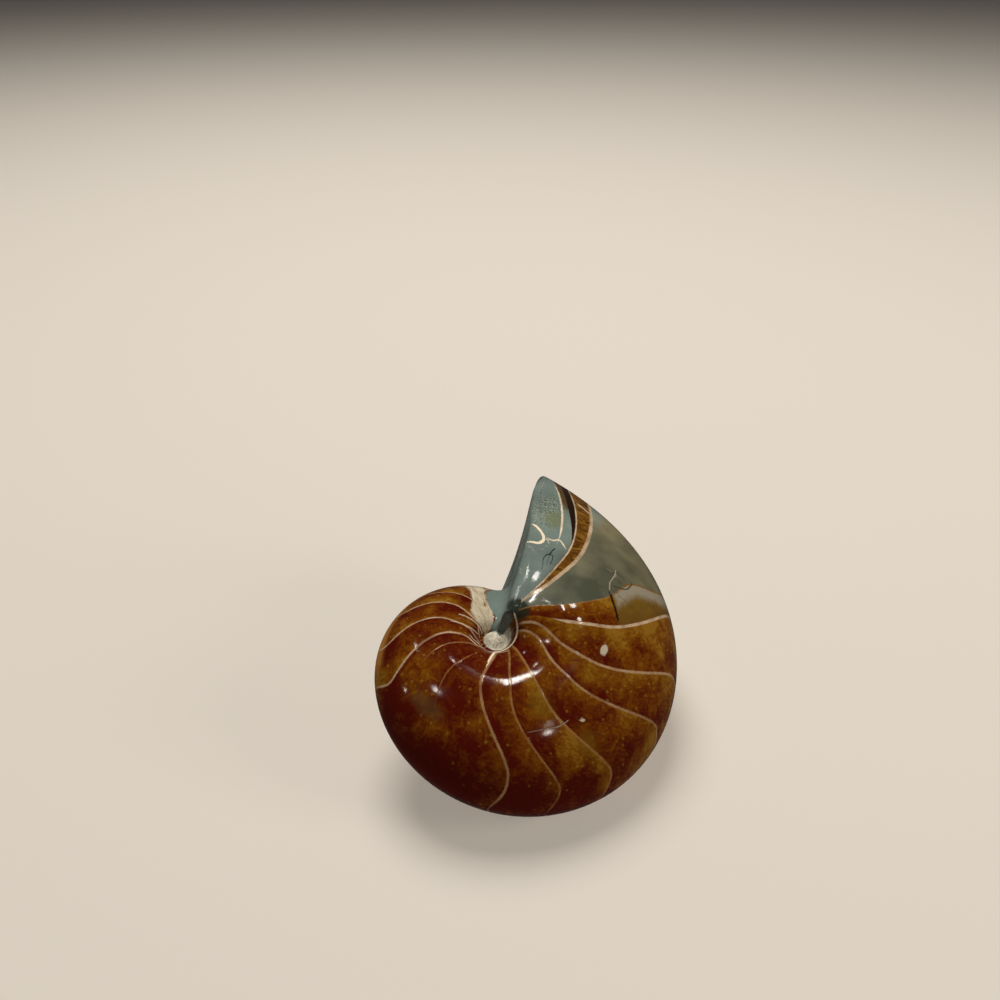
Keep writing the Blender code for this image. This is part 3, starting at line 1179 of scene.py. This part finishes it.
    def _navel(self, below: Socket) -> tuple[Socket, Socket]:
        """Lay fibrous white calcite over the navel's plug and the streak that runs from it.

        Args:
            below: the colour below it.

        Returns:
            The colour with the calcite over it, and where the plug is.
        """
        # Curled fibres in the plug, about 1.4 mm across.
        curly = {"Scale": 700.0, "Detail": 4.0, "Roughness": 0.6, "Distortion": 2.5}
        curled = self.add("TexNoise", {"Vector": self.place} | curly)
        shade = self.add("MapRange", {"Value": curled, "From Min": 0.38, "From Max": 0.62})
        shades = {0: shade, 6: self.look.plug_dull, 7: self.look.plug_pale}
        white = self.add("Mix", shades, 2)
        # The streak's fibres run from the navel outwards, about 0.5 mm across.
        along = self.add("CombineXYZ", ("azimuth", "reach"))
        along = self.add("Mapping", {"Vector": along, "Scale": (0.12, 2.0, 1.0)})
        fibrous = {"Vector": along, "Detail": 5.0, "Roughness": 0.7, "Distortion": 1.0}
        fibres = self.add("TexNoise", fibrous)
        shade = self.add("MapRange", {"Value": fibres, "From Min": 0.3, "From Max": 0.6})
        shades = {0: shade, 6: self.look.streak_dull, 7: self.look.streak_pale}
        cream = self.add("Mix", shades, 2)
        below = self._laid(below, (Layer("streak", cream, -0.1, 0.3, 0.95, 1.6),), fibres)
        mask = self._mask(Layer("plug", "", 0.18, 0.24, 1.0, 0.06), curled)
        return self.add("Mix", {0: mask, 6: below, 7: white}, 2), mask

    def _relief(self, wall: Socket, crack: Socket, in_navel: Socket) -> Socket:
        """The polish's slight waves, the harder walls, the cracks and the navel's fibres.

        Args:
            wall: where the seams show.
            crack: where the open cracks are.
            in_navel: where the navel's plug is.

        Returns:
            The bumped normal.
        """
        # Waves about 6 mm across and 0.05 mm high.
        waves = self.add("TexNoise", {"Vector": self.place, "Scale": 170.0, "Detail": 2.0})
        height = self.add("Math", (waves, 0.05, 0.0))
        for part, depth in ((self.fine, 0.006), (wall, 0.015), (crack, -0.12), (in_navel, 0.02)):
            height = self.add("Math", (part, depth, height))
        return self.add("Bump", {"Height": height, "Strength": 1.0, "Distance": MM})


@dataclass
class NautilusFossil:
    """The whole stone: one closed skin over the coil, with a flat ground underneath."""

    coil: Coil = field(default_factory=Coil)
    resting: Resting = field(default_factory=Resting)
    stone: FossilStone = field(default_factory=FossilStone)
    snap: float = 0.02
    centre: Vector = field(default_factory=Vector)

    def build(self) -> bpy.types.Object:
        """Make the skin, lay it down where the frame has its node, and dress it.

        Returns:
            The finished object.
        """
        net = Net(self.coil)
        bm = self._net_mesh(net)
        self._lay_down(bm)
        self._grind_flat(bm)
        self._place(bm)
        bmesh.ops.scale(bm, vec=(MM, MM, MM), verts=bm.verts)
        bmesh.ops.recalc_face_normals(bm, faces=bm.faces)
        mesh = bpy.data.meshes.new("fossil_skin")
        bm.to_mesh(mesh)
        bm.free()
        mesh.shade_smooth()
        mesh.set_sharp_from_angle(angle=math.radians(40))
        mesh.materials.append(self.stone.material())
        skin = bpy.data.objects.new("fossil_skin", mesh)
        bpy.context.scene.collection.objects.link(skin)
        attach(skin, "root")
        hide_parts(NODE)
        return skin

    def _net_mesh(self, net: Net) -> bmesh.types.BMesh:
        """Move a sphere's rows and columns onto the net, with the net's fields on its points.

        Args:
            net: the net to lay.

        Returns:
            The closed skin in the coil's own frame, in millimetres.
        """
        points = net.lay()
        bm = bmesh.new()
        bmesh.ops.create_uvsphere(bm, u_segments=net.columns, v_segments=net.rows, radius=1)
        layers = {name: bm.verts.layers.float.new(name) for name in net.fields}
        for vert in bm.verts:
            row = round(math.acos(max(-1, min(1, vert.co.z))) / math.pi * net.rows)
            column = round(math.atan2(vert.co.y, vert.co.x) / math.tau * net.columns) % net.columns
            row = max(0, min(net.rows, row))
            if row in (0, net.rows):
                vert.co = points[row].mean(axis=0)
            else:
                vert.co = points[row, column]
            for name, layer in layers.items():
                vert[layer] = float(net.fields[name][row, column])
        return bm

    def _lay_down(self, bm: bmesh.types.BMesh) -> None:
        """Turn the coil as it lies, with its lowest point the flat's depth under the surface.

        Args:
            bm: the skin.
        """
        bmesh.ops.transform(bm, matrix=self.resting.turned(), verts=bm.verts)
        lowest = min(vert.co.z for vert in bm.verts)
        drop = Vector((0, 0, -lowest - self.resting.flat_depth))
        bmesh.ops.translate(bm, vec=drop, verts=bm.verts)
        self.centre = drop

    def _grind_flat(self, bm: bmesh.types.BMesh) -> None:
        """Grind off what is below the resting surface, and leave a flat face there.

        Args:
            bm: the skin.
        """
        bmesh.ops.bisect_plane(
            bm,
            geom=bm.verts[:] + bm.edges[:] + bm.faces[:],
            dist=self.snap,
            plane_co=(0, 0, 0),
            plane_no=(0, 0, -1),
            use_snap_center=True,
            clear_outer=True,
        )
        rim = [edge for edge in bm.edges if edge.is_boundary]
        bmesh.ops.edgeloop_fill(bm, edges=rim)
        bmesh.ops.remove_doubles(bm, verts=bm.verts, dist=self.snap)

    def _place(self, bm: bmesh.types.BMesh) -> None:
        """Bring the middle of the footprint's box to the middle of the node's box.

        Args:
            bm: the skin.
        """
        low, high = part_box(NODE)
        xs = [vert.co.x for vert in bm.verts]
        ys = [vert.co.y for vert in bm.verts]
        middle = Vector((min(xs) + max(xs), min(ys) + max(ys), 0)) / 2
        target = Vector(((low[0] + high[0]) / 2, (low[1] + high[1]) / 2, low[2])) / MM
        bmesh.ops.translate(bm, vec=target - middle, verts=bm.verts)
        self.centre = self.centre + target - middle


class Role(Enum):
    """What a lamp is for."""

    SOFT = "lights the stone and casts the shadow, with its glare kept off the polish"
    SPARK = "shows as a highlight in the polish, and casts no shadow of its own"


@dataclass(frozen=True)
class Lamp:
    """One lamp, aimed at the stone.

    Attributes:
        role: what the lamp is for.
        heading: degrees clockwise from straight behind the stone, seen from above.
        height: degrees above the horizon.
        width: the lamp's width in metres.
        power: watts.
        length: its length in metres, or 0 for a round lamp.
        roll: how far its length is turned from upright, in degrees.
        colour: sRGB hex.
        distance: how far off it hangs, in metres.
    """

    role: Role
    heading: float
    height: float
    width: float
    power: float
    length: float = 0.0
    roll: float = 0.0
    colour: str = "#fff8f0"
    distance: float = 1.2

    def place(self, name: str, target: Vector) -> None:
        """Hang the lamp and aim it.

        Args:
            name: the lamp's name.
            target: the point that it is aimed at, in metres.
        """
        heading, height = math.radians(self.heading), math.radians(self.height)
        away = Vector(
            (
                math.sin(heading) * math.cos(height),
                math.cos(heading) * math.cos(height),
                math.sin(height),
            )
        )
        light = bpy.data.lights.new(name, "AREA")
        light.shape = "ELLIPSE"
        light.size = self.width
        light.size_y = self.length or self.width
        light.energy = self.power
        light.color = linear(self.colour)[:3]
        light.use_shadow = self.role is Role.SOFT
        lamp = bpy.data.objects.new(name, light)
        lamp.visible_glossy = self.role is Role.SPARK
        lamp.location = target + away * self.distance
        aimed = away.to_track_quat("Z", "Y").to_matrix() @ Matrix.Rotation(math.radians(self.roll), 3, "Z")
        lamp.rotation_euler = aimed.to_euler()
        bpy.context.scene.collection.objects.link(lamp)


@dataclass
class Studio:
    """A plain pale floor, soft lamps and the camera."""

    floor_size: float = 3.0
    floor_colour: str = "#d8d3ca"
    surround: str = "#3c3a38"
    eye_offset: Vector = field(default_factory=lambda: Vector((2.475, -173.696, 149.852)) * MM)
    tilt: float = 31.5
    lens: float = 36.0
    lamps: tuple[Lamp, ...] = (
        Lamp(Role.SOFT, heading=-15, height=62, width=0.7, power=9.0),
        Lamp(Role.SOFT, heading=105, height=25, width=0.5, power=3.0),
        Lamp(Role.SPARK, heading=31, height=79, width=0.055, power=2.6, length=0.27, roll=38),
        Lamp(Role.SPARK, heading=110, height=59, width=0.05, power=0.8, length=0.12, roll=43),
        Lamp(Role.SPARK, heading=50, height=65, width=0.15, power=2.0),
        Lamp(Role.SPARK, heading=-15, height=75, width=0.05, power=0.3),
        Lamp(Role.SPARK, heading=-48, height=60, width=0.05, power=0.3),
        Lamp(Role.SPARK, heading=-100, height=41, width=0.05, power=0.3),
        Lamp(Role.SPARK, heading=-120, height=72, width=0.06, power=0.5),
        Lamp(Role.SPARK, heading=138, height=43, width=0.05, power=0.35),
    )

    def build(self, coil_centre: Vector) -> None:
        """Make the floor, the lamps, the surround and the camera.

        Args:
            coil_centre: where the coil's centre lies, in metres.
        """
        self._floor()
        for count, lamp in enumerate(self.lamps):
            lamp.place(f"lamp_{count}", coil_centre)
        world = bpy.data.worlds.new("dim_surround")
        world.use_nodes = True
        world.node_tree.nodes["Background"].inputs["Color"].default_value = linear(self.surround)
        world.node_tree.nodes["Background"].inputs["Strength"].default_value = 1.0
        bpy.context.scene.world = world
        self._camera(coil_centre)
        bpy.context.scene.view_settings.view_transform = "Standard"

    def _floor(self) -> None:
        """Lay the floor under the stone."""
        bm = bmesh.new()
        bmesh.ops.create_grid(bm, x_segments=1, y_segments=1, size=self.floor_size)
        mesh = bpy.data.meshes.new("studio_floor")
        bm.to_mesh(mesh)
        bm.free()
        matt = bpy.data.materials.new("matt_painted_board")
        matt.use_nodes = True
        shader = matt.node_tree.nodes["Principled BSDF"]
        shader.inputs["Base Color"].default_value = linear(self.floor_colour)
        shader.inputs["Roughness"].default_value = 0.8
        mesh.materials.append(matt)
        floor = bpy.data.objects.new("studio_floor", mesh)
        # The polish would mirror so pale a floor all round the foot, and hide the stone's own colour.
        floor.visible_glossy = False
        bpy.context.scene.collection.objects.link(floor)

    def _camera(self, coil_centre: Vector) -> None:
        """Set up the camera, which looks down on the stone from its near side.

        Args:
            coil_centre: where the coil's centre lies, in metres.
        """
        data = bpy.data.cameras.new("camera")
        data.lens = self.lens
        data.sensor_width = 36.0
        data.clip_start = 0.01
        camera = bpy.data.objects.new("camera", data)
        camera.location = coil_centre + self.eye_offset
        camera.rotation_euler = (math.radians(90 - self.tilt), 0, 0)
        bpy.context.scene.collection.objects.link(camera)
        bpy.context.scene.camera = camera


def main() -> None:
    """Build the stone and the studio, and report them."""
    logging.basicConfig(level=logging.INFO, format="%(name)s: %(message)s")
    fossil = NautilusFossil()
    skin = fossil.build()
    log.info("%s: %d faces", skin.name, len(skin.data.polygons))
    Studio().build(fossil.centre * MM)
    log.info("studio: floor, lamps and camera")


if __name__ == "__main__":
    main()
